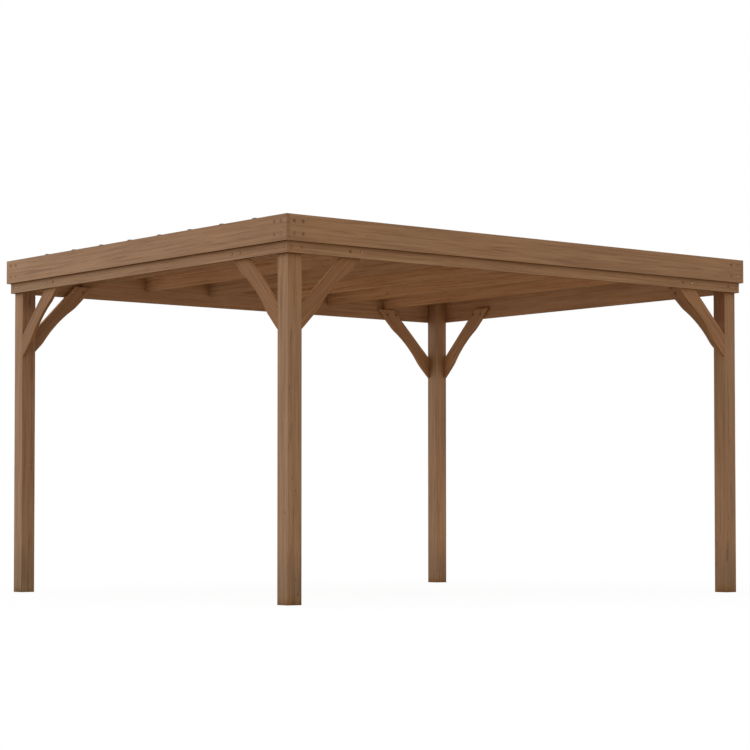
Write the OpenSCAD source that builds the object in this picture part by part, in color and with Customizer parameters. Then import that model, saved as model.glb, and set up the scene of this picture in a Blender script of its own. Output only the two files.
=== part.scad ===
// Wooden pergola: four posts, a doubled ring of boards, rafters, knee braces and a flat ribbed roof.
// Origin: on the floor, in the middle of the plan. +X runs along the long side, +Y to the back, +Z up.

/* [Overall] */
// Length over the fascia boards
frame_l = 4600; // [3800:10:5600]
// Width over the fascia boards
frame_w = 3766; // [3130:1:4600]
// Clear height under the beams
clear_h = 2404; // [2000:1:2900]

/* [Posts] */
// Side of a square post
post_side = 120; // [95:1:150]
// Radius of a post's long edges
post_edge = 3; // [1:0.5:6]

/* [Beams and fascia] */
// Thickness of the beam boards
beam_t = 25; // [20:1:32]
// Thickness of the fascia boards
fascia_t = 25; // [20:1:32]
// Height of the fascia boards
fascia_h = 184; // [150:1:225]
// How much of a beam shows below the fascia
beam_reveal = 79; // [40:1:100]
// Bevel along the long edges of the sawn boards
board_bevel = 2; // [1:0.5:3]

/* [Rafters] */
// Number of rafters
rafter_count = 6; // [4:1:8]
// Thickness of a rafter
rafter_t = 40; // [32:1:50]
// Depth of a rafter
rafter_h = 145; // [120:1:175]
// Underside of the rafters above the underside of the beams
rafter_lift = 95; // [75:1:115]

/* [Braces] */
// Thickness of a brace
brace_t = 28; // [22:1:36]
// Width of the board that a brace is cut from
brace_h = 125; // [100:1:150]
// How far below the beams the lower end of a brace lies
brace_drop = 518; // [430:1:622]
// Gap between the upper end of a brace and the rafters above it
brace_gap = 5; // [2:1:20]
// Depth of the curve cut in a brace's lower edge
arch_depth = 21; // [12:1:28]
// Length of that curve along the edge
arch_l = 424; // [340:1:510]
// Distance along the edge from the brace's lower end to the middle of the curve
arch_middle = 389; // [320:1:450]
// Radius that eases each end of that curve into the straight edge
arch_ease = 400; // [150:10:600]

/* [Roof] */
// Thickness of the roof boards
deck_t = 20; // [15:1:25]
// Thickness of the roof sheet between its ribs
sheet_t = 2; // [1:0.5:3]
// Number of roof sheets, each with two ribs
sheet_count = 4; // [3:1:4]
// Distance between the ribs
rib_pitch = 399; // [330:1:450]
// Width of a rib at its foot
rib_w = 50; // [30:1:60]
// Width of a rib at its top
rib_top_w = 30; // [15:1:40]
// Height of a rib above the roof boards
rib_h = 25; // [15:1:35]
// Distance from the outer face of the fascia to the end of a rib
rib_inset = 77; // [60:1:110]
// Width of a stiffening fold in the flat stretches of a sheet
fold_w = 26; // [16:1:40]
// Height of such a fold above the sheet
fold_h = 4; // [2:0.5:6]
// Gap between the roof and the fascia around it
roof_gap = 4; // [2:1:8]
// Gap between neighbouring roof sheets
sheet_gap = 1; // [0.5:0.5:3]

/* [Hidden] */
$fn = 64;
timber = [0.55, 0.42, 0.33];
shaded_timber = [0.45, 0.32, 0.22];
steel = [0.36, 0.33, 0.30];

// How far the posts' outer faces lie inside the outer faces of the fascia
ring_t = fascia_t + beam_t;
// Outer and inner faces of the posts, and the deck's underside
post_outer_x = frame_l / 2 - ring_t;
post_outer_y = frame_w / 2 - ring_t;
post_inner_x = post_outer_x - post_side;
post_inner_y = post_outer_y - post_side;
rafter_z = clear_h + rafter_lift;
deck_z = rafter_z + rafter_h;

// The beams reach up to the deck, as the posts and the rafters do
beam_h = deck_z - clear_h;

// The rafters divide the length between the middles of the two end beams evenly
rafter_step = (frame_l - 2 * fascia_t - beam_t) / (rafter_count + 1);
function rafter_x(i) = (i - (rafter_count + 1) / 2) * rafter_step;

// A brace's board rises at 45 degrees, so its square width covers this much of the post
brace_cut = brace_h * sqrt(2);
brace_lap = rafter_lift - brace_gap;
brace_run = brace_drop + brace_lap;
arch_r = (pow(arch_l / 2, 2) + pow(arch_depth, 2)) / (2 * arch_depth);

// The easing runs from the curve to the straight edge, both measured from the curve's middle.
// It lies a little deeper than a true tangent, so that it crosses both cleanly.
ease_bite = 0.3;
ease_to = sqrt(pow(arch_r + arch_ease - ease_bite, 2) - pow(arch_r - arch_depth + arch_ease - ease_bite, 2));
ease_from = ease_to * arch_r / (arch_r + arch_ease);

// The roof fills the fascia less a gap, and each sheet holds two ribs
roof_l = frame_l - 2 * (fascia_t + roof_gap);
roof_w = frame_w - 2 * (fascia_t + roof_gap);
sheet_w = 2 * rib_pitch;
function sheet_y(i) = (i - (sheet_count + 1) / 2) * sheet_w;

// Names, each with the mirrors (in X, in Y) that turn the front left piece into the named one
CORNERS = [["front_left", 0, 0], ["front_right", 1, 0], ["back_left", 0, 1], ["back_right", 1, 1]];
LONG_SIDES = [["front", 0, 0], ["back", 0, 1]];
SHORT_SIDES = [["left", 0, 0], ["right", 1, 0]];
LONG_BRACES = [
    ["front_brace_left", 0, 0], ["front_brace_right", 1, 0],
    ["back_brace_left", 0, 1], ["back_brace_right", 1, 1]
];
SHORT_BRACES = [
    ["left_brace_front", 0, 0], ["left_brace_back", 0, 1],
    ["right_brace_front", 1, 0], ["right_brace_back", 1, 1]
];

// Moves a front left piece to its place
module placed(place) {
    mirror([place[1], 0, 0])
        mirror([0, place[2], 0])
            children();
}

// A sawn board along +X, l long, t thick in +Y and h high, with bevelled long edges
module board(l, t, h) {
    b = board_bevel;
    rotate([90, 0, 90])
        linear_extrude(l)
            polygon([
                [b, 0], [t - b, 0], [t, b], [t, h - b],
                [t - b, h], [b, h], [0, h - b], [0, b]
            ]);
}

// The front left post, with rounded long edges
module post() {
    r = post_edge;
    color(timber)
        translate([-post_outer_x, -post_outer_y, 0])
            linear_extrude(deck_z) {
                translate([r, 0])
                    square([post_side - 2 * r, post_side]);
                translate([0, r])
                    square([post_side, post_side - 2 * r]);
                for (x = [r, post_side - r], y = [r, post_side - r])
                    translate([x, y])
                        circle(r);
            }
}

// The front ring beam, which ends against the beams of the short sides
module long_beam() {
    color(timber)
        translate([-post_outer_x, -post_outer_y - beam_t, clear_h])
            board(2 * post_outer_x, beam_t, beam_h);
}

// The left ring beam, which covers the ends of the long ones
module short_beam() {
    length = frame_w - 2 * fascia_t;
    color(timber)
        translate([-post_outer_x, -length / 2, clear_h])
            rotate([0, 0, 90])
                board(length, beam_t, beam_h);
}

// The front fascia board, between those of the short sides
module long_fascia() {
    length = frame_l - 2 * fascia_t;
    color(timber)
        translate([-length / 2, -frame_w / 2, clear_h + beam_reveal])
            board(length, fascia_t, fascia_h);
}

// The left fascia board, over the whole width
module short_fascia() {
    color(timber)
        translate([-frame_l / 2 + fascia_t, -frame_w / 2, clear_h + beam_reveal])
            rotate([0, 0, 90])
                board(frame_w, fascia_t, fascia_h);
}

// A rafter between the front and the back beam
module rafter(i) {
    color(shaded_timber)
        translate([rafter_x(i) + rafter_t / 2, -post_outer_y, rafter_z])
            rotate([0, 0, 90])
                board(2 * post_outer_y, rafter_t, rafter_h);
}

// What is cut from a brace: X along its lower edge from the middle of the curve, Y into the board
module arch_cut() {
    translate([0, arch_depth - arch_r, 0])
        cylinder(h = 2 * brace_t, r = arch_r, $fn = 256);
    for (end = [0, 1])
        mirror([end, 0, 0])
            difference() {
                translate([ease_from, -1, 0])
                    cube([ease_to - ease_from, arch_depth + 1, 2 * brace_t]);
                translate([ease_to, arch_ease - ease_bite, -brace_t / 2])
                    cylinder(h = 3 * brace_t, r = arch_ease, $fn = 256);
            }
}

// A brace in its own plane: X from the post's face, Z from the beam's underside, Y into the frame
module brace() {
    middle = arch_middle / sqrt(2);
    color(shaded_timber)
        difference() {
            translate([0, brace_t, 0])
                rotate([90, 0, 0])
                    linear_extrude(brace_t)
                        polygon([
                            [0, -brace_drop],
                            [0, -brace_drop + brace_cut],
                            [brace_run - brace_cut, brace_lap],
                            [brace_run, brace_lap]
                        ]);
            translate([middle, 1.5 * brace_t, middle - brace_drop])
                rotate([90, 0, 0])
                    rotate([0, 0, 45])
                        arch_cut();
        }
}

// The front left brace along the long side
module long_brace() {
    translate([-post_inner_x, -post_outer_y, clear_h])
        brace();
}

// The front left brace along the short side
module short_brace() {
    translate([-post_outer_x, -post_inner_y, clear_h])
        mirror([1, -1, 0])
            brace();
}

// The boards that close the roof
module roof_boards() {
    color(shaded_timber)
        translate([-roof_l / 2, -roof_w / 2, deck_z])
            cube([roof_l, roof_w, deck_t]);
}

// A raised fold along +X at y, w wide at its foot, top_w at its top and h high
module fold(y, w, top_w, h) {
    length = frame_l - 2 * rib_inset;
    translate([-length / 2, y, 0])
        rotate([90, 0, 90])
            linear_extrude(length)
                polygon([[-w / 2, 0], [w / 2, 0], [top_w / 2, h], [-top_w / 2, h]]);
}

// A roof sheet with two ribs, the first and last sheet widened to the fascia.
// Two low folds stiffen each flat stretch between the ribs.
module roof_sheet(i) {
    middle = sheet_y(i);
    y0 = (i == 1) ? -roof_w / 2 : middle - (sheet_w - sheet_gap) / 2;
    y1 = (i == sheet_count) ? roof_w / 2 : middle + (sheet_w - sheet_gap) / 2;
    color(steel)
        translate([0, 0, deck_z + deck_t]) {
            translate([-roof_l / 2, y0, 0])
                cube([roof_l, y1 - y0, sheet_t]);
            for (third = [-7:2:7]) {
                y = middle + third * rib_pitch / 6;
                if (abs(third) == 3)
                    fold(y, rib_w, rib_top_w, rib_h);
                else if (y - fold_w / 2 > y0 && y + fold_w / 2 < y1)
                    fold(y, fold_w, fold_w / 2, sheet_t + fold_h);
            }
        }
}

for (corner = CORNERS)
    placed(corner) post();
for (side = LONG_SIDES) {
    placed(side) long_beam();
    placed(side) long_fascia();
}
for (side = SHORT_SIDES) {
    placed(side) short_beam();
    placed(side) short_fascia();
}
for (i = [1:rafter_count])
    rafter(i);
for (place = LONG_BRACES)
    placed(place) long_brace();
for (place = SHORT_BRACES)
    placed(place) short_brace();
roof_boards();
for (i = [1:sheet_count])
    roof_sheet(i);
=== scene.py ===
import math
import random

import bpy
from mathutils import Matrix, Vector


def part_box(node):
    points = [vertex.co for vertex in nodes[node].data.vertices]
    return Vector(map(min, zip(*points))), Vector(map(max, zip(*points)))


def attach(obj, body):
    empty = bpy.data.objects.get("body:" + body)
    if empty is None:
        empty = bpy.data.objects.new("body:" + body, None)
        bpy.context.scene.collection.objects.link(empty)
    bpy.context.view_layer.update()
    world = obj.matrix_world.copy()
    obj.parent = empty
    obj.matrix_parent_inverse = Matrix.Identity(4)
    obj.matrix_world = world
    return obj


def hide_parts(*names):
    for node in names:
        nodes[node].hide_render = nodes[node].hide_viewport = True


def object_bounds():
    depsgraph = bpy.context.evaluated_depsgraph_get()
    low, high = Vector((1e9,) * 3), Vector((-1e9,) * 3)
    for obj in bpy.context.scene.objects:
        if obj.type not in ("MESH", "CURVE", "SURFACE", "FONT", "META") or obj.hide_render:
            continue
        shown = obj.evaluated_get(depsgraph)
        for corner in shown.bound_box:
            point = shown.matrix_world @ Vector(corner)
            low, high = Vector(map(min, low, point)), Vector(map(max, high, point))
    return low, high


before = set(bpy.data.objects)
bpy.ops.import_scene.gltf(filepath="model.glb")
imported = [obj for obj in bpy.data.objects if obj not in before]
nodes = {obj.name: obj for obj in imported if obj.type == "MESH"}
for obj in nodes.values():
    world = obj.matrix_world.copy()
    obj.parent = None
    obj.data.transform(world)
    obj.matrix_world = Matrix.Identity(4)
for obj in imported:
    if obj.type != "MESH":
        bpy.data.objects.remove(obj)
cadBox = [list(corner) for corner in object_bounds()]
low, high = (Vector(corner) for corner in cadBox)
print("frame loaded:", len(nodes), "nodes")

# the camera stands low, outside the front left corner
cameraSetup = {
    "place": (-11.570, -14.228, 0.597),
    "heading": 38.63,  # degrees from +Y towards +X
    "pitch": 1.887,  # degrees above the horizon
    "lens": 109.41,
    "shift": (0.0267, 0.09),
    "sight": 200.0,  # how far it sees, in metres
}


def setCamera():
    bpy.ops.object.camera_add(location=cameraSetup["place"])
    camera = bpy.context.object
    camera.name = "camera"
    tilt = math.radians(90 + cameraSetup["pitch"])
    camera.rotation_euler = (tilt, 0, -math.radians(cameraSetup["heading"]))
    camera.data.lens = cameraSetup["lens"]
    camera.data.shift_x, camera.data.shift_y = cameraSetup["shift"]
    camera.data.clip_end = cameraSetup["sight"]
    bpy.context.scene.camera = camera
    print("camera set")


# helpers for materials
def addNode(tree, kind, inputs=None, **settings):
    node = tree.nodes.new(kind)
    for name, value in settings.items():
        setattr(node, name, value)
    for name, value in (inputs or {}).items():
        if hasattr(value, "is_output"):
            tree.links.new(value, node.inputs[name])
        else:
            node.inputs[name].default_value = value
    return node


def calc(tree, operation, first, second=0.0, third=0.0, clamp=False):
    inputs = {0: first, 1: second, 2: third}
    node = addNode(tree, "ShaderNodeMath", inputs, operation=operation, use_clamp=clamp)
    return node.outputs[0]


def vectorCalc(tree, operation, first, second=(0, 0, 0)):
    node = addNode(tree, "ShaderNodeVectorMath", {0: first, 1: second}, operation=operation)
    return node.outputs["Value"] if operation in ("LENGTH", "DOT_PRODUCT") else node.outputs["Vector"]


def product(tree, *factors):
    total = factors[0]
    for factor in factors[1:]:
        total = calc(tree, "MULTIPLY", total, factor)
    return total


def vectorProduct(tree, *factors):
    total = factors[0]
    for factor in factors[1:]:
        total = vectorCalc(tree, "MULTIPLY", total, factor)
    return total


def oneMinus(tree, value):
    return calc(tree, "SUBTRACT", 1.0, value)


def objectPlace(tree):
    return tree.nodes.new("ShaderNodeTexCoord").outputs["Object"]


def part(tree, vector, axis):
    return addNode(tree, "ShaderNodeSeparateXYZ", {0: vector}).outputs[axis]


# waves holds how many waves a metre has along each axis
def noise(tree, place, seed, waves, detail=2.0, roughness=0.5):
    inputs = {
        "Vector": vectorCalc(tree, "MULTIPLY", place, waves),
        "W": seed, "Scale": 1.0, "Detail": detail, "Roughness": roughness,
    }
    return addNode(tree, "ShaderNodeTexNoise", inputs, noise_dimensions="4D").outputs


def fade(tree, value, start, end, top=1.0):
    inputs = {"Value": value, "From Min": start, "From Max": end, "To Min": 0.0, "To Max": top}
    node = addNode(tree, "ShaderNodeMapRange", inputs, interpolation_type="SMOOTHSTEP")
    return node.outputs["Result"]


def ramp(tree, factor, stops):
    node = addNode(tree, "ShaderNodeValToRGB", {"Fac": factor})
    elements = node.color_ramp.elements
    while len(elements) < len(stops):
        elements.new(0.5)
    for element, (place, colour) in zip(elements, stops):
        element.position = place
        element.color = (*colour, 1.0)
    return node.outputs["Color"]


def opaque(colour):
    return colour if hasattr(colour, "is_output") else (*colour, 1.0)


# sockets 6 and 7 take the colours, and the third result is their blend
def blendColour(tree, factor, first, second):
    inputs = {0: factor, 6: opaque(first), 7: opaque(second)}
    return addNode(tree, "ShaderNodeMix", inputs, data_type="RGBA").outputs[2]


def newMaterial(name):
    material = bpy.data.materials.new(name)
    material.use_nodes = True
    return material, material.node_tree, material.node_tree.nodes["Principled BSDF"]


# sawn softwood under a brown stain; distances in metres
woodLook = {
    "stops": (
        (0.00, (0.298, 0.160, 0.078)),
        (0.38, (0.259, 0.132, 0.059)),
        (0.70, (0.225, 0.108, 0.046)),
        (1.00, (0.145, 0.063, 0.024)),
    ),
    "contrast": 1.45,
    "grainRange": (0.25, 0.75),
    "lateDepth": 0.22,  # late wood, streaks and fibres each take a part of the stain's depth
    "streakDepth": 0.50,
    "fibreDepth": 0.28,
    "patchTone": (0.34, 0.83),  # how much the patches vary, and the darkest one
    "wander": (0.0, 0.030, 0.030),  # how far the grain wanders
    "ringWidth": 0.0075,
    "ringWaves": 1.6,
    "lateWood": ((0.0, 0.15), (0.12, 0.0), (0.55, 0.2), (0.86, 1.0), (1.0, 0.25)),  # through one ring
    "knot": (0.085, 0.036, 0.018),
    "knotStrength": 0.45,
    "knotRadius": 0.014,
    "knotCore": 0.55,  # share of the radius where a knot is at its darkest
    "knotPull": (4.5, 0.4, 0.022),  # rings bend between so many radii of a knot, and so far
    "knotSpacing": (0.7, 5.0, 5.0),  # cells per metre along and across the grain
    "knotSeeds": (1.73, 3.31, 0.77),
    "splitSeed": 5.0,
    "gateSeed": 9.0,
    "splitWidth": (0.0045, 0.0015),
    "splitPlaces": (0.56, 0.62),
    "splitShade": 0.62,
    "endShade": 0.03,
    "endColour": (0.235, 0.155, 0.100),  # sawn ends turn a little greyer
    "endStrength": 0.12,
    "roughness": 0.57,
    "fibreRoughness": 0.18,
    "knotGloss": 0.12,
    "bumpStrength": 0.5,
    "bumpDepth": 0.0012,
    "bumpParts": (0.45, 0.20, 0.25, -1.0),  # fibre, late wood, streak, split
    "occlusionReach": 0.12,  # how far the painted occlusion shade reaches from other faces
    "occlusionRays": 8,
    "occlusionDepth": (0.95, 1.30, 1.75),  # red, green and blue of the painted occlusion shade, which is warmer where it is darker
    "sheenDepth": 2.0,  # how fast the painted occlusion shade takes the sheen away
    "innerOcclusion": 0.25,  # the painted occlusion shade is weaker on the faces that look inwards
    # painted shade on the faces that look down
    "undersideShade": 0.48,
    "keySheenTint": (0.96, 1.01, 1.10),  # painted sheen of the key lamp: the side that faces -X looks a little greyer
    # painted light on the faces that look up, with more green and blue than red
    "topLightColour": (1.0, 1.36, 2.1),
    "footDarkening": 0.24,
    "footLift": (0.38, 0.58, 0.74),  # painted light right at the floor, against the painted occlusion shade there: the feet are paler and less warm
    "headShadeTint": (0.65, 0.47, 0.30),  # painted shade on the top of a post, on the sides that face inwards
    "headFade": 0.14,
    "warmTop": (0.96, 0.89, 0.79),  # painted warm shade: some posts turn darker and warmer towards the beams all round
    "warmHeights": (1.9, 2.25),
}

# waves per metre along and across the grain, detail and roughness
woodNoise = {
    "bend": ((0.9, 4.0, 4.0), 2.0, 0.5),
    "streak": ((1.7, 62.0, 62.0), 3.0, 0.6),
    "fibre": ((9.0, 330.0, 330.0), 3.0, 0.65),
    "patch": ((1.2, 3.5, 3.5), 2.0, 0.5),
    "split": ((1.1, 22.0, 22.0), 1.0, 0.5),
    "gate": ((1.5, 9.0, 9.0), 0.0, 0.5),
}

# how far a face turns towards a direction before an effect starts, and until it is full
woodTurns = {
    "sawnEnd": (0.80, 0.95),
    "down": (-0.35, -0.95),
    "inner": (0.3, 0.6),
    "keySheenSide": (0.3, 0.8),
    "paintedTopLight": (0.3, 0.65),
    "sheen": (-0.70, -0.25),
}
plain = (1, 1, 1)


def addSockets(group):
    inputs = {
        "Place": "Vector", "Pith": "Vector", "Seed": "Float", "Tint": "Vector", "Checks": "Float",
        "Grain": "Vector", "Occlusion Shade": "Float", "Inner Occlusion Shade": "Float", "Painted Top Light": "Float", "Sheen": "Float",
        "Sides": "Vector", "Lean": "Vector", "Inward": "Vector", "Inner Tint": "Vector",
    }
    outputs = {"Colour": "Color", "Roughness": "Float", "Sheen": "Float", "Normal": "Vector"}
    for direction, sockets in (("INPUT", inputs), ("OUTPUT", outputs)):
        for name, kind in sockets.items():
            group.interface.new_socket(name, in_out=direction, socket_type="NodeSocket" + kind)


# knots stand in loose cells; the second result says how far they pull the rings
def knotField(group, place, seed):
    spacing = woodLook["knotSpacing"]
    cells = vectorCalc(group, "MULTIPLY", place, spacing)
    cells = vectorCalc(group, "ADD", cells, vectorCalc(group, "MULTIPLY", seed, woodLook["knotSeeds"]))
    knotCell = addNode(group, "ShaderNodeTexVoronoi", {"Vector": cells, "Scale": 1.0, "Randomness": 1.0})
    toKnot = vectorCalc(group, "SUBTRACT", cells, knotCell.outputs["Position"])
    toKnot = vectorCalc(group, "DIVIDE", toKnot, spacing)
    distance = vectorCalc(group, "LENGTH", toKnot)
    radius = woodLook["knotRadius"]
    start, end, depth = woodLook["knotPull"]
    knot = fade(group, distance, radius, radius * woodLook["knotCore"])
    return knot, fade(group, distance, radius * start, radius * end, depth)


# growth rings round the pith, pale at first and dark at their end
def ringField(group, place, pith, pull, bend):
    acrossGrain = vectorProduct(group, vectorCalc(group, "ADD", place, pith), (0, 1, 1))
    ringPlace = calc(group, "ADD", vectorCalc(group, "LENGTH", acrossGrain), pull)
    ringPlace = calc(group, "DIVIDE", ringPlace, woodLook["ringWidth"])
    ringPlace = calc(group, "MULTIPLY_ADD", bend, woodLook["ringWaves"], ringPlace)
    stops = [(where, (tone,) * 3) for where, tone in woodLook["lateWood"]]
    return ramp(group, calc(group, "FRACT", ringPlace), stops)


# drying checks: short thin splits along the grain, only in some places
def splitField(group, place, straightPlace, seed, checks):
    ownSeed = calc(group, "ADD", seed, woodLook["splitSeed"])
    wave = noise(group, place, ownSeed, *woodNoise["split"])["Fac"]
    wave = calc(group, "ABSOLUTE", calc(group, "SUBTRACT", wave, 0.5))
    split = fade(group, wave, *woodLook["splitWidth"])
    gateSeed = calc(group, "ADD", seed, woodLook["gateSeed"])
    gate = noise(group, straightPlace, gateSeed, *woodNoise["gate"])["Fac"]
    return product(group, split, fade(group, gate, *woodLook["splitPlaces"]), checks)


# painted shade: ambient occlusion darkens the colour near other faces, in joints, corners and under
# overhangs, and less so on the faces that look inwards
def jointField(group, openness, inner, given, shade):
    occlusionStrength = product(group, inner, oneMinus(group, given["Inner Occlusion Shade"]))
    occlusionStrength = product(group, oneMinus(group, occlusionStrength), given["Occlusion Shade"])
    shades = {}
    for axis, depth in zip("XYZ", woodLook["occlusionDepth"]):
        darkness = calc(group, "POWER", openness, product(group, occlusionStrength, depth))
        shades[axis] = product(group, shade, darkness)
    return addNode(group, "ShaderNodeCombineXYZ", shades).outputs[0]


# the side that faces -X gets a painted sheen, the faces that look inwards get painted shade, and a
# painted light gradient runs along a board
def sideField(group, facing, inner, given):
    keySheenSide = vectorCalc(group, "DOT_PRODUCT", facing, (-1, 0, 0))
    keySheenSide = product(group, fade(group, keySheenSide, *woodTurns["keySheenSide"]), oneMinus(group, inner))
    # painted light: the colour grows paler or darker per metre along the board, as light falls off along it
    drift = vectorProduct(group, part(group, given["Place"], "X"), given["Lean"])
    return vectorProduct(
        group,
        blendColour(group, keySheenSide, plain, woodLook["keySheenTint"]),
        blendColour(group, inner, plain, given["Inner Tint"]),
        vectorCalc(group, "ADD", drift, plain),
    )


def makeWoodPattern():
    group = bpy.data.node_groups.new("stainedWoodPattern", "ShaderNodeTree")
    addSockets(group)
    given = group.nodes.new("NodeGroupInput").outputs
    result = group.nodes.new("NodeGroupOutput").inputs
    seed = given["Seed"]

    # the grain wanders a little along the board
    bend = noise(group, given["Place"], seed, *woodNoise["bend"])
    shift = vectorCalc(group, "SUBTRACT", bend["Color"], (0.5, 0.5, 0.5))
    place = vectorCalc(group, "ADD", given["Place"], vectorProduct(group, shift, woodLook["wander"]))

    knot, pull = knotField(group, place, seed)
    lateWood = ringField(group, place, given["Pith"], pull, bend["Fac"])
    streak = noise(group, place, seed, *woodNoise["streak"])["Fac"]
    fibre = noise(group, place, seed, *woodNoise["fibre"])["Fac"]
    patch = noise(group, given["Place"], seed, *woodNoise["patch"])["Fac"]
    split = splitField(group, place, given["Place"], seed, given["Checks"])

    contrast = woodLook["contrast"]
    depth = product(group, lateWood, woodLook["lateDepth"])
    for grain, strength in ((streak, woodLook["streakDepth"]), (fibre, woodLook["fibreDepth"])):
        grain = fade(group, grain, *woodLook["grainRange"])
        depth = calc(group, "MULTIPLY_ADD", grain, strength, depth)
    depth = calc(group, "MULTIPLY_ADD", depth, contrast, 0.5 - contrast / 2, clamp=True)
    colour = ramp(group, depth, woodLook["stops"])

    # sawn ends drink more stain, faces that look down get painted shade and some tops get painted light
    facing = group.nodes.new("ShaderNodeNewGeometry").outputs["Normal"]
    alongGrain = vectorCalc(group, "DOT_PRODUCT", facing, given["Grain"])
    sawnEnd = fade(group, calc(group, "ABSOLUTE", alongGrain), *woodTurns["sawnEnd"])
    upwards = part(group, facing, "Z")
    down = fade(group, upwards, *woodTurns["down"], 1.0 - woodLook["undersideShade"])
    inner = fade(group, vectorCalc(group, "DOT_PRODUCT", facing, given["Inward"]), *woodTurns["inner"])
    shade = product(
        group,
        calc(group, "MULTIPLY_ADD", split, -woodLook["splitShade"], 1.0),
        calc(group, "MULTIPLY_ADD", sawnEnd, -woodLook["endShade"], 1.0),
        oneMinus(group, down),
        calc(group, "MULTIPLY_ADD", patch, *woodLook["patchTone"]),
        # the tone of the sides that face X and Y, partly painted light and shade
        vectorCalc(group, "DOT_PRODUCT", vectorProduct(group, facing, facing), given["Sides"]),
    )
    colour = blendColour(group, product(group, knot, woodLook["knotStrength"]), colour, woodLook["knot"])
    ends = product(group, sawnEnd, woodLook["endStrength"])
    colour = blendColour(group, ends, colour, woodLook["endColour"])

    # ambient occlusion near other faces drives the painted occlusion shade
    reach, rays = woodLook["occlusionReach"], woodLook["occlusionRays"]
    openness = addNode(group, "ShaderNodeAmbientOcclusion", {"Distance": reach}, samples=rays).outputs["AO"]
    # painted light on the faces that look up, as on the braces' upper edges
    topLightFactor = product(group, fade(group, upwards, *woodTurns["paintedTopLight"]), given["Painted Top Light"])
    topLightFactor = vectorProduct(group, topLightFactor, woodLook["topLightColour"])
    colour = vectorProduct(
        group, colour, jointField(group, openness, inner, given, shade), given["Tint"],
        sideField(group, facing, inner, given), vectorCalc(group, "ADD", topLightFactor, plain),
    )
    group.links.new(colour, result["Colour"])

    # painted shade on the reflection: the sheen goes on faces that look down and near other faces
    dull = fade(group, upwards, *woodTurns["sheen"])
    sheen = product(group, dull, calc(group, "POWER", openness, woodLook["sheenDepth"]), given["Sheen"])
    group.links.new(sheen, result["Sheen"])
    rough = calc(group, "MULTIPLY_ADD", fibre, woodLook["fibreRoughness"], woodLook["roughness"])
    rough = calc(group, "MULTIPLY_ADD", knot, -woodLook["knotGloss"], rough)
    group.links.new(rough, result["Roughness"])

    height = 0.0
    for bump, strength in zip((fibre, lateWood, streak, split), woodLook["bumpParts"]):
        height = calc(group, "MULTIPLY_ADD", bump, strength, height)
    relief = {"Height": height, "Strength": woodLook["bumpStrength"], "Distance": woodLook["bumpDepth"]}
    group.links.new(addNode(group, "ShaderNodeBump", relief).outputs["Normal"], result["Normal"])
    return group


woodPattern = makeWoodPattern()

# each kind of timber, where it differs from the plain one; joint sets how deep the painted occlusion shade
# goes, and the paler tints of the rafters and planks paint light into their shade under the roof
plainTimber = {"checks": 0.5, "foot": 0.0, "sheen": 0.0, "joint": 0.2, "paintedTopLight": 0.0, "innerTint": plain}
timberKinds = {
    "post": {"tint": (1.0, 1.0, 0.94), "checks": 1.0, "foot": 0.45, "sheen": 0.35, "joint": 1.0},
    "fascia": {"tint": (1.0, 0.97, 0.88), "checks": 0.35, "sheen": 0.35, "joint": 1.0},
    "beam": {
        "tint": (1.0, 1.0, 0.96), "checks": 0.35, "sheen": 0.30, "joint": 0.7,
        # painted shade on the faces of the beams that look inwards, under the roof
        "innerTint": (0.98, 0.90, 0.82),
    },
    "rafter": {"tint": (1.20, 1.17, 1.12)},
    "brace": {"tint": (0.90, 0.81, 0.69), "sheen": 0.25, "paintedTopLight": 1.7},
    "plank": {"tint": (2.15, 2.00, 1.85), "checks": 0.3, "joint": 0.3},
}

# how single boards differ: the tone of the sides that face X and Y, its own tint, the painted light gradient
# per metre along the grain, and on a post how dark the painted shade on its inner sides gets, from what
# height, how much painted warm shade its top gets all round and how deep the painted occlusion shade is at
# its foot; the side tones and tints are partly board tone and partly painted light and shade, darker on the
# braces at the near post
evenBoard = {
    "sides": (1, 1), "tint": plain, "lean": (0, 0, 0), "head": (0.0, 2.0), "warmth": 0.0, "footOcclusion": 1.0,
}
boardTones = {
    "post_front_left": {"head": (0.65, 2.08), "warmth": 1.0},
    "post_back_left": {
        "sides": (1.03, 0.95), "lean": (0, -0.04, -0.08), "head": (0.62, 2.18), "footOcclusion": 0.5,
    },
    "post_front_right": {"sides": (1.0, 1.02), "head": (1.0, 2.08), "warmth": 0.7},
    "post_back_right": {"sides": (0.87, 1.10), "head": (0.5, 2.08)},
    "fascia_left": {"lean": (0.058, 0.085, 0.125)},
    "beam_left": {"sides": (0.92, 1.0), "lean": (0.03, 0.06, 0.095)},
    "front_brace_left": {"sides": (0.89, 0.89), "tint": (1.03, 0.96, 0.82)},
    "left_brace_front": {"sides": (0.88, 0.88), "tint": (1.03, 0.96, 0.82)},
    "rafter_2": {"sides": (1.04, 1.04), "lean": (0.09, 0.09, 0.09)},
    "rafter_4": {"lean": (0.06, 0.06, 0.06)},
    "front_brace_right": {"sides": (1.09, 1.09)},
    "back_brace_right": {"sides": (1.18, 1.18)},
    "right_brace_back": {"sides": (1.10, 1.10)},
}


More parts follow.
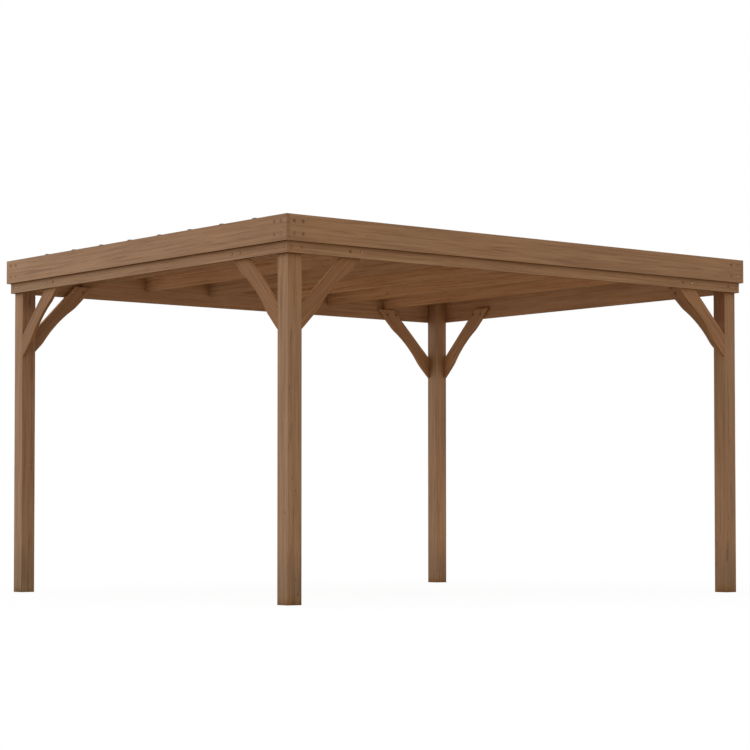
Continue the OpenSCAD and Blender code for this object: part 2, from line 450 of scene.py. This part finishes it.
# a post turns darker towards the floor and, as painted light, paler right at it; some get painted warm shade
# at the top, and their inner sides there get painted shade
def shadePost(tree, wood, colour, foot, own):
    heightUp = part(tree, objectPlace(tree), "Z")
    reach = woodLook["occlusionReach"]
    lift = blendColour(tree, fade(tree, heightUp, reach, 0.0), (0, 0, 0), woodLook["footLift"])
    footDarker = oneMinus(tree, fade(tree, heightUp, foot, reach, woodLook["footDarkening"]))
    lift = vectorCalc(tree, "ADD", lift, footDarker)
    warm = fade(tree, heightUp, *woodLook["warmHeights"], own["warmth"])
    occlusionEase = fade(tree, heightUp, reach, foot, own["footOcclusion"] - woodLook["innerOcclusion"])
    innerOcclusion = calc(tree, "SUBTRACT", own["footOcclusion"], occlusionEase)
    headStrength, headStart = own["head"]
    paintedHeadShade = fade(tree, heightUp, headStart, headStart + woodLook["headFade"], headStrength)
    headShadeTint = blendColour(tree, paintedHeadShade, plain, woodLook["headShadeTint"])
    tree.links.new(innerOcclusion, wood.inputs["Inner Occlusion Shade"])
    tree.links.new(headShadeTint, wood.inputs["Inner Tint"])
    return vectorProduct(tree, colour, lift, blendColour(tree, warm, plain, woodLook["warmTop"]))


def stainedWood(name, kind, grain, centre, pith, seed, shift=1.0, inward=(0, 0, 0)):
    look = {**plainTimber, **timberKinds[kind]}
    own = {**evenBoard, **boardTones.get(name, {})}
    material, tree, shader = newMaterial(name + "_timber")
    turn = Vector(grain).rotation_difference(Vector((1, 0, 0)))
    place = addNode(tree, "ShaderNodeMapping", {
        "Vector": objectPlace(tree),
        "Location": -(turn @ Vector(centre)),
        "Rotation": turn.to_euler("XYZ"),
    })
    wood = addNode(tree, "ShaderNodeGroup", node_tree=woodPattern)
    tree.links.new(place.outputs[0], wood.inputs["Place"])
    values = {
        "Pith": (0, *pith), "Seed": seed,
        "Tint": [tone * change * shift for tone, change in zip(look["tint"], own["tint"])],
        "Checks": look["checks"], "Grain": Vector(grain).normalized(),
        "Occlusion Shade": look["joint"], "Inner Occlusion Shade": woodLook["innerOcclusion"],
        "Painted Top Light": look["paintedTopLight"], "Sheen": look["sheen"],
        "Sides": (*own["sides"], sum(own["sides"]) / 2), "Lean": own["lean"],
        "Inward": inward, "Inner Tint": look["innerTint"],
    }
    for socket, value in values.items():
        wood.inputs[socket].default_value = value
    shader.inputs["Specular IOR Level"].default_value = look["sheen"]
    if look["sheen"]:
        tree.links.new(wood.outputs["Sheen"], shader.inputs["Specular IOR Level"])
    colour = wood.outputs["Colour"]
    if look["foot"]:
        colour = shadePost(tree, wood, colour, look["foot"], own)
    tree.links.new(colour, shader.inputs["Base Color"])
    tree.links.new(wood.outputs["Roughness"], shader.inputs["Roughness"])
    tree.links.new(wood.outputs["Normal"], shader.inputs["Normal"])
    return material


def dress(node, material):
    if not nodes[node].material_slots:
        nodes[node].data.materials.append(material)
    nodes[node].material_slots[0].material = material


def timberKind(node):
    return "brace" if "brace" in node else node.split("_")[0]


# the grain runs along each piece, and a brace's grain climbs from its post to its beam
def grainOf(node):
    kind = timberKind(node)
    if kind == "brace":
        plane, end = node.split("_brace_")
        inward = {"left": 1, "right": -1, "front": 1, "back": -1}[end]
        return (inward, 0, 1) if plane in ("front", "back") else (0, inward, 1)
    if kind == "post":
        return (0, 0, 1)
    return (1, 0, 0) if node.endswith(("front", "back")) else (0, 1, 0)


# a board is sawn beside the pith and a post nearer to it; distances in metres
sawing = {"near": 0.03, "far": (0.04, 0.11), "postShare": 0.3, "tones": (0.95, 1.05), "seeds": 90}


def dressTimber():
    random.seed(11)
    for node in sorted(nodes):
        if node.startswith("roof"):
            continue
        kind = timberKind(node)
        corner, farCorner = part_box(node)
        nearPith = random.uniform(-sawing["near"], sawing["near"])
        farPith = random.uniform(*sawing["far"]) * random.choice((-1, 1))
        pith = (nearPith, farPith * sawing["postShare"]) if kind == "post" else (farPith, nearPith)
        shift = random.uniform(*sawing["tones"])
        seed = random.uniform(0, sawing["seeds"])
        centre = (corner + farCorner) / 2
        inward = Vector((-centre.x, -centre.y, 0)).normalized()
        dress(node, stainedWood(node, kind, grainOf(node), centre, pith, seed, shift, inward))
    print("timber stained")


# sharp edges are eased; the meshes stay as they are, under two modifiers
easing = {"brace": 0.0025, "board": 0.0020, "segments": 2, "sharp": 30, "weld": 0.00001}


def easeEdges():
    for node in nodes:
        if node.startswith("roof"):
            continue
        weld = nodes[node].modifiers.new("weld", "WELD")
        weld.merge_threshold = easing["weld"]
        bevel = nodes[node].modifiers.new("ease", "BEVEL")
        bevel.width = easing["brace" if timberKind(node) == "brace" else "board"]
        bevel.segments = easing["segments"]
        bevel.limit_method = "ANGLE"
        bevel.angle_limit = math.radians(easing["sharp"])
    print("edges eased")


# helpers for modelling
hair = 0.00001  # metres; places closer than this are the same
level = 0.99  # a face that looks up at least this much is a top


def deselectAll():
    if bpy.context.object and bpy.context.object.mode != "OBJECT":
        bpy.ops.object.mode_set(mode="OBJECT")
    bpy.ops.object.select_all(action="DESELECT")


def pick(piece, kind, mode, test):
    bpy.ops.object.mode_set(mode="OBJECT")
    for parts in (piece.data.vertices, piece.data.edges, piece.data.polygons):
        parts.foreach_set("select", [False] * len(parts))
    for item in getattr(piece.data, kind):
        item.select = test(item)
    bpy.ops.object.mode_set(mode="EDIT")
    bpy.ops.mesh.select_mode(type=mode)


def pickEdges(piece, test):
    pick(piece, "edges", "EDGE", lambda edge: test(*(piece.data.vertices[i].co for i in edge.vertices)))


def pickTopEdges(piece):
    top = max(point.co.z for point in piece.data.vertices) - hair
    pickEdges(piece, lambda start, end: min(start.z, end.z) > top)


def addDisc(cornerCount, radius, thick, bottom=0.0):
    place = (0, 0, bottom + thick / 2)
    bpy.ops.mesh.primitive_cylinder_add(vertices=cornerCount, radius=radius, depth=thick, location=place)
    bpy.ops.object.transform_apply(location=True)
    return bpy.context.object


def copyTo(source, place, turn=(0, 0, 0)):
    twin = source.copy()
    twin.data = source.data.copy()
    bpy.context.collection.objects.link(twin)
    twin.location = place
    twin.rotation_euler = turn
    return twin


# the first piece takes in the others
def joinAll(pieces):
    deselectAll()
    for piece in pieces:
        piece.select_set(True)
    bpy.context.view_layer.objects.active = pieces[0]
    bpy.ops.object.transform_apply(location=True, rotation=True, scale=True)
    bpy.ops.object.join()
    return bpy.context.object


def joinCopies(copies, name):
    joined = joinAll(copies)
    joined.name = joined.data.name = name
    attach(joined, "root")
    return joined


def discard(piece):
    bpy.data.objects.remove(piece)


# star-socket screws, modelled once with the head facing up, each in a dark ring of painted shade, as in a
# countersink round the head
boardScrew = {
    "radius": 0.0068, "proud": 0.0018, "rim": 0.0009, "socket": 0.0030, "lobe": 0.74, "depth": 0.0014,
    "ringShadeRadius": 0.0110, "ringShadeProud": 0.0003,
}
braceScrew = {
    "radius": 0.0080, "proud": 0.0026, "rim": 0.0012, "socket": 0.0034, "lobe": 0.74, "depth": 0.0020,
    "ringShadeRadius": 0.0122, "ringShadeProud": 0.0003,
}
screwCorners = {"head": 12, "ring": 16}


def modelScrew(shape, steel, countersinkPaint):
    deselectAll()
    screw = addDisc(screwCorners["head"], shape["radius"], shape["proud"])
    pickTopEdges(screw)
    bpy.ops.mesh.bevel(offset=shape["rim"], segments=2)
    pick(screw, "polygons", "FACE", lambda face: face.normal.z > level)
    bpy.ops.mesh.inset(thickness=shape["radius"] - shape["rim"] - shape["socket"])
    bpy.ops.mesh.extrude_region_move(TRANSFORM_OT_translate={"value": (0, 0, -shape["depth"])})

    # every second corner of the socket moves in, which leaves six lobes
    halfway = (shape["socket"] + shape["radius"]) / 2

    def onLobe(point):
        angle = math.degrees(math.atan2(point.co.y, point.co.x))
        corner = round(angle * screwCorners["head"] / 360)
        return point.co.xy.length < halfway and corner % 2 == 0

    pick(screw, "vertices", "VERT", onLobe)
    bpy.ops.transform.resize(value=(shape["lobe"], shape["lobe"], 1), center_override=(0, 0, 0))
    bpy.ops.object.mode_set(mode="OBJECT")
    screw.data.materials.append(steel)
    ring = addDisc(screwCorners["ring"], shape["ringShadeRadius"], shape["ringShadeProud"])
    ring.data.materials.append(countersinkPaint)
    return joinAll([screw, ring])


# the four sides: how a head turns to face outwards, the axis across the side, which way is out along it, the
# side across the roof and the two ends
quarter = math.radians(90)
sides = {
    "front": {"turn": (quarter, 0, 0), "axis": 1, "out": -1, "across": "back", "ends": ("left", "right")},
    "back": {"turn": (-quarter, 0, 0), "axis": 1, "out": 1, "across": "front", "ends": ("left", "right")},
    "left": {"turn": (0, -quarter, 0), "axis": 0, "out": -1, "across": "right", "ends": ("front", "back")},
    "right": {"turn": (0, quarter, 0), "axis": 0, "out": 1, "across": "left", "ends": ("front", "back")},
}

# distances in from the ring's corner, or from the post for a brace, and heights above the board's lower edge
fixings = {
    "fascia": {"along": (0.067, 0.143), "up": (0.051, 0.138)},
    "beam": {"along": (0.040, 0.125), "up": (0.044,)},
    "brace": {"along": (0.405, 0.505), "up": 0.044},
}


# the place of a side's outer face, and the two ends of its run
def sideRun(kind, side):
    corner = Vector((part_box(kind + "_left")[0].x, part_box(kind + "_front")[0].y))
    farCorner = Vector((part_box(kind + "_right")[1].x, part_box(kind + "_back")[1].y))
    axis = sides[side]["axis"]
    face = (corner if sides[side]["out"] < 0 else farCorner)[axis]
    return face, corner[1 - axis], farCorner[1 - axis]


def onSide(side, run, face, height):
    return (run, face, height) if sides[side]["axis"] else (face, run, height)


def boardScrewPlaces(kind):
    places = []
    for side in sides:
        face, start, end = sideRun(kind, side)
        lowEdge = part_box(kind + "_" + side)[0].z
        for along in fixings[kind]["along"]:
            for run in (start + along, end - along):
                for up in fixings[kind]["up"]:
                    places.append((onSide(side, run, face, lowEdge + up), sides[side]["turn"]))
    return places


def braceScrewPlaces():
    places = []
    for side, facts in sides.items():
        face = sideRun("beam", side)[0]
        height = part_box("beam_" + side)[0].z + fixings["brace"]["up"]
        innerTurn = sides[facts["across"]]["turn"]
        for end in facts["ends"]:
            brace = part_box(side + "_brace_" + end)
            inner = brace[1 if facts["out"] < 0 else 0][facts["axis"]]
            first = end == facts["ends"][0]
            postFace = brace[0 if first else 1][1 - facts["axis"]]
            for along in fixings["brace"]["along"]:
                run = postFace + (along if first else -along)
                places.append((onSide(side, run, face, height), facts["turn"]))
                places.append((onSide(side, run, inner, height), innerTurn))
    return places


# some screws catch more light than others
bronzeLook = {
    "wear": (3.0, (900, 900, 900)),  # seed and waves per metre
    "fresh": (6.0, (13, 13, 13), 0.0),  # and how much detail
    "stops": ((0.52, (0.180, 0.102, 0.050)), (0.78, (0.270, 0.165, 0.090)), (0.92, (0.56, 0.44, 0.30))),
    "freshShare": 1.1,
    "wearShare": 0.25,
    "roughness": (0.3, 0.34),  # how much it varies, and the least
    "metallic": 0.85,
}
# painted shade: the flat dark ring round each screw head, with fine specks
countersinkLook = {
    "speck": (8.0, (1200, 1200, 1200)),  # seed and waves per metre
    "stops": ((0.3, (0.080, 0.036, 0.014)), (0.7, (0.135, 0.066, 0.028))),
    "roughness": (0.2, 0.75),
    "specular": 0.1,
}


def bronzedSteel():
    material, tree, shader = newMaterial("bronzed_screw_steel")
    place = objectPlace(tree)
    wear = noise(tree, place, *bronzeLook["wear"])["Fac"]
    fresh = noise(tree, place, *bronzeLook["fresh"])["Fac"]
    wearPart = product(tree, wear, bronzeLook["wearShare"])
    fresh = calc(tree, "MULTIPLY_ADD", fresh, bronzeLook["freshShare"], wearPart)
    tree.links.new(ramp(tree, fresh, bronzeLook["stops"]), shader.inputs["Base Color"])
    rough = calc(tree, "MULTIPLY_ADD", wear, *bronzeLook["roughness"])
    tree.links.new(rough, shader.inputs["Roughness"])
    shader.inputs["Metallic"].default_value = bronzeLook["metallic"]
    return material


def crushedFibres():
    material, tree, shader = newMaterial("painted_countersink_shade")
    speck = noise(tree, objectPlace(tree), *countersinkLook["speck"])["Fac"]
    tree.links.new(ramp(tree, speck, countersinkLook["stops"]), shader.inputs["Base Color"])
    rough = calc(tree, "MULTIPLY_ADD", speck, *countersinkLook["roughness"])
    tree.links.new(rough, shader.inputs["Roughness"])
    shader.inputs["Specular IOR Level"].default_value = countersinkLook["specular"]
    return material


def driveScrews():
    steel, countersinkPaint = bronzedSteel(), crushedFibres()
    groups = (
        ("fascia_screws", boardScrew, boardScrewPlaces("fascia")),
        ("beam_screws", boardScrew, boardScrewPlaces("beam")),
        ("brace_screws", braceScrew, braceScrewPlaces()),
    )
    for name, shape, places in groups:
        screw = modelScrew(shape, steel, countersinkPaint)
        joinCopies([copyTo(screw, place, turn) for place, turn in places], name)
        discard(screw)
        print(name, len(places))


# the closed roof: grooved boards laid along the length, each row in two pieces that meet on a rafter
planking = {
    "rows": 31, "groove": 0.0035, "joint": 0.0008, "rafterOrder": (3, 1, 5, 2, 6, 4),
    "pith": (0.06, 0.02), "seedStep": 6.37, "tones": (0.22, 0.87),
}


def modelPlank(size):
    deselectAll()
    bpy.ops.mesh.primitive_cube_add(size=1)
    plank = bpy.context.object
    bpy.ops.object.mode_set(mode="EDIT")
    bpy.ops.mesh.select_all(action="SELECT")
    bpy.ops.transform.resize(value=size)
    half = Vector(size) / 2

    def lowLongEdge(start, end):
        isLow = max(start.z, end.z) < hair - half.z
        return isLow and abs(start.y - end.y) < hair and abs(start.x - end.x) > half.x

    pickEdges(plank, lowLongEdge)
    bpy.ops.mesh.bevel(offset=planking["groove"], segments=1)
    bpy.ops.object.mode_set(mode="OBJECT")
    return plank


# each plank's number sets its own grain and tone
def plankWood():
    corner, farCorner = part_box("roof_boards")
    centre = (corner + farCorner) / 2
    material = stainedWood("roof_planks", "plank", (1, 0, 0), centre, planking["pith"], 0.0)
    tree = material.node_tree
    wood = next(node for node in tree.nodes if node.type == "GROUP")
    number = addNode(tree, "ShaderNodeAttribute", attribute_name="plankNumber").outputs["Fac"]
    tree.links.new(product(tree, number, planking["seedStep"]), wood.inputs["Seed"])
    chance = addNode(tree, "ShaderNodeTexWhiteNoise", {"W": number}, noise_dimensions="1D").outputs["Value"]
    shift = calc(tree, "MULTIPLY_ADD", chance, *planking["tones"])
    tree.links.new(vectorProduct(tree, shift, timberKinds["plank"]["tint"]), wood.inputs["Tint"])
    return material


def layPlanks():
    corner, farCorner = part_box("roof_boards")
    width = (farCorner.y - corner.y) / planking["rows"]
    thick = farCorner.z - corner.z
    gap = planking["joint"] / 2
    order = planking["rafterOrder"]
    wood = plankWood()
    planks = []
    for row in range(planking["rows"]):
        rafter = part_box("rafter_" + str(order[row % len(order)]))
        joint = (rafter[0].x + rafter[1].x) / 2
        across = corner.y + width * (row + 0.5)
        for start, end in ((corner.x, joint - gap), (joint + gap, farCorner.x)):
            plank = modelPlank((end - start, width, thick))
            plank.location = ((start + end) / 2, across, (corner.z + farCorner.z) / 2)
            plank.data.materials.append(wood)
            number = plank.data.attributes.new("plankNumber", "FLOAT", "POINT")
            number.data.foreach_set("value", [float(len(planks) + 1)] * len(plank.data.vertices))
            planks.append(plank)
    total = len(planks)
    laid = joinCopies(planks, "roof_planks")
    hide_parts("roof_boards")
    print("planks laid:", total)


# dark coated sheet steel, with dust in the flats and faint marks left by rain
steelLook = {
    "clean": (0.082, 0.066, 0.053),
    "dusty": (0.150, 0.130, 0.108),
    "cloud": (4.0, (0.9, 2.6, 2.6), 5.0, 0.6),  # seed, waves per metre, detail and roughness
    "streak": (7.0, (0.7, 34.0, 34.0), 3.0, 0.6),
    "grit": (9.0, (420, 420, 420), 2.0),
    "dent": (2.0, (1.6, 5.0, 5.0), 1.0),
    "cloudRange": (0.38, 0.72),
    "gritRange": (0.55, 0.75),
    "flatRange": (0.4, 0.95),  # dust lies where the steel faces up
    "streakTone": (0.9, 0.25),
    "gritDust": 0.12,
    "gritHeight": 0.02,
    "roughness": (0.35, 0.42),
    "bumpStrength": 0.35,
    "bumpDepth": 0.004,
}


def coatedSteel():
    material, tree, shader = newMaterial("coated_roof_steel")
    place = objectPlace(tree)
    cloud, streak, grit, dent = (
        noise(tree, place, *steelLook[name])["Fac"] for name in ("cloud", "streak", "grit", "dent")
    )
    up = part(tree, tree.nodes.new("ShaderNodeNewGeometry").outputs["Normal"], "Z")
    flat = fade(tree, up, *steelLook["flatRange"])
    dust = product(tree, fade(tree, cloud, *steelLook["cloudRange"]), flat)
    rain = calc(tree, "MULTIPLY_ADD", streak, *steelLook["streakTone"])
    dust = calc(tree, "MULTIPLY", dust, rain, clamp=True)
    specks = fade(tree, grit, *steelLook["gritRange"])
    dust = calc(tree, "MULTIPLY_ADD", specks, steelLook["gritDust"], dust, clamp=True)
    colour = blendColour(tree, dust, steelLook["clean"], steelLook["dusty"])
    tree.links.new(colour, shader.inputs["Base Color"])
    rough = calc(tree, "MULTIPLY_ADD", dust, *steelLook["roughness"])
    tree.links.new(rough, shader.inputs["Roughness"])
    height = calc(tree, "MULTIPLY_ADD", grit, steelLook["gritHeight"], dent)
    relief = {"Height": height, "Strength": steelLook["bumpStrength"], "Distance": steelLook["bumpDepth"]}
    tree.links.new(addNode(tree, "ShaderNodeBump", relief).outputs["Normal"], shader.inputs["Normal"])
    return material


# hexagon screws with washers beside each rib, over every rafter and near both ends
roofScrew = {
    "washer": 0.0085, "washerThick": 0.0018, "washerRim": 0.00108, "washerCorners": 16,
    "head": 0.0052, "headThick": 0.0045, "headRim": 0.0008, "headCorners": 6,
    "sheetThick": 0.002, "besideRib": 0.046, "ribPitch": 0.399, "ribs": 8, "endInset": 0.115,
}


def modelRoofScrew():
    deselectAll()
    thick, headThick = roofScrew["washerThick"], roofScrew["headThick"]
    washer = addDisc(roofScrew["washerCorners"], roofScrew["washer"], thick)
    pickTopEdges(washer)
    bpy.ops.mesh.bevel(offset=roofScrew["washerRim"], segments=1)
    bpy.ops.object.mode_set(mode="OBJECT")
    head = addDisc(roofScrew["headCorners"], roofScrew["head"], headThick, thick)
    pickTopEdges(head)
    bpy.ops.mesh.bevel(offset=roofScrew["headRim"], segments=1)
    bpy.ops.object.mode_set(mode="OBJECT")
    return joinAll([washer, head])


def roofScrewPlaces(flat):
    rows = [sum(corner.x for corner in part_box(node)) / 2 for node in nodes if node.startswith("rafter")]
    rows += [low.x + roofScrew["endInset"], high.x - roofScrew["endInset"]]
    places = []
    for rib in range(roofScrew["ribs"]):
        ribPlace = (rib - (roofScrew["ribs"] - 1) / 2) * roofScrew["ribPitch"]
        beside = roofScrew["besideRib"] * (1 if rib % 2 else -1)
        for row in sorted(rows):
            places.append((row, ribPlace + beside, flat))
    return places


def finishRoof():
    steel = coatedSteel()
    for node in nodes:
        if node.startswith("roof_sheet"):
            dress(node, steel)
    screw = modelRoofScrew()
    screw.data.materials.append(steel)
    places = roofScrewPlaces(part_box("roof_boards")[1].z + roofScrew["sheetThick"])
    turns = [random.uniform(0, math.pi) for _ in places]
    copies = [copyTo(screw, place, (0, 0, turn)) for place, turn in zip(places, turns)]
    joinCopies(copies, "roof_screws")
    discard(screw)
    print("roof finished, screws:", len(places))


# a pale floor, a white surround and one wide soft lamp
studio = {
    "floorSize": 120.0,
    "floorDrop": 0.001,
    "floorTone": 0.80,
    "floorGlow": 0.86,  # how much of the floor's look is plain white
    "floorLight": 0.42,  # the soft light that the floor gives by itself
    "ambient": 0.66,
    "keyStrength": 0.87,
    "keyFrom": (-0.76, 0.50, 0.36),
    "keySpread": 60.0,  # degrees
}


def seenDirectly(tree):
    path = tree.nodes.new("ShaderNodeLightPath").outputs
    seen = calc(tree, "MAXIMUM", path["Is Camera Ray"], path["Is Glossy Ray"])
    return calc(tree, "MAXIMUM", seen, path["Is Transmission Ray"])


def glow(tree, kind, strength):
    return addNode(tree, kind, {"Color": opaque(plain), "Strength": strength}).outputs[0]


def endTree(tree, kind, factor, first, second):
    mix = addNode(tree, "ShaderNodeMixShader", {0: factor, 1: first, 2: second})
    tree.links.new(mix.outputs[0], tree.nodes.new(kind).inputs["Surface"])


def setWorld():
    world = bpy.data.worlds.new("studio")
    bpy.context.scene.world = world
    world.use_nodes = True
    tree = world.node_tree
    tree.nodes.clear()
    ambient = glow(tree, "ShaderNodeBackground", studio["ambient"])
    white = glow(tree, "ShaderNodeBackground", 1.0)
    endTree(tree, "ShaderNodeOutputWorld", seenDirectly(tree), ambient, white)


def layFloor():
    deselectAll()
    bpy.ops.mesh.primitive_plane_add(size=studio["floorSize"], location=(0, 0, -studio["floorDrop"]))
    floor = bpy.context.object
    floor.name = "floor"
    material, tree, _ = newMaterial("pale_floor")
    tree.nodes.clear()
    lit = glow(tree, "ShaderNodeEmission", studio["floorLight"])
    matt = addNode(tree, "ShaderNodeBsdfDiffuse", {"Color": opaque((studio["floorTone"],) * 3)}).outputs[0]
    base = addNode(tree, "ShaderNodeAddShader", {0: matt, 1: lit}).outputs[0]
    white = glow(tree, "ShaderNodeEmission", 1.0)
    shown = product(tree, seenDirectly(tree), studio["floorGlow"])
    endTree(tree, "ShaderNodeOutputMaterial", shown, base, white)
    floor.data.materials.append(material)


def lightStudio():
    setWorld()
    layFloor()
    bpy.ops.object.light_add(type="SUN")
    sun = bpy.context.object
    sun.name = "key"
    sun.data.energy = studio["keyStrength"]
    sun.data.angle = math.radians(studio["keySpread"])
    sun.rotation_euler = Vector(studio["keyFrom"]).to_track_quat("Z", "Y").to_euler()
    bpy.context.scene.view_settings.view_transform = "Standard"
    print("studio lit")


setCamera()
dressTimber()
easeEdges()
driveScrews()
layPlanks()
finishRoof()
lightStudio()
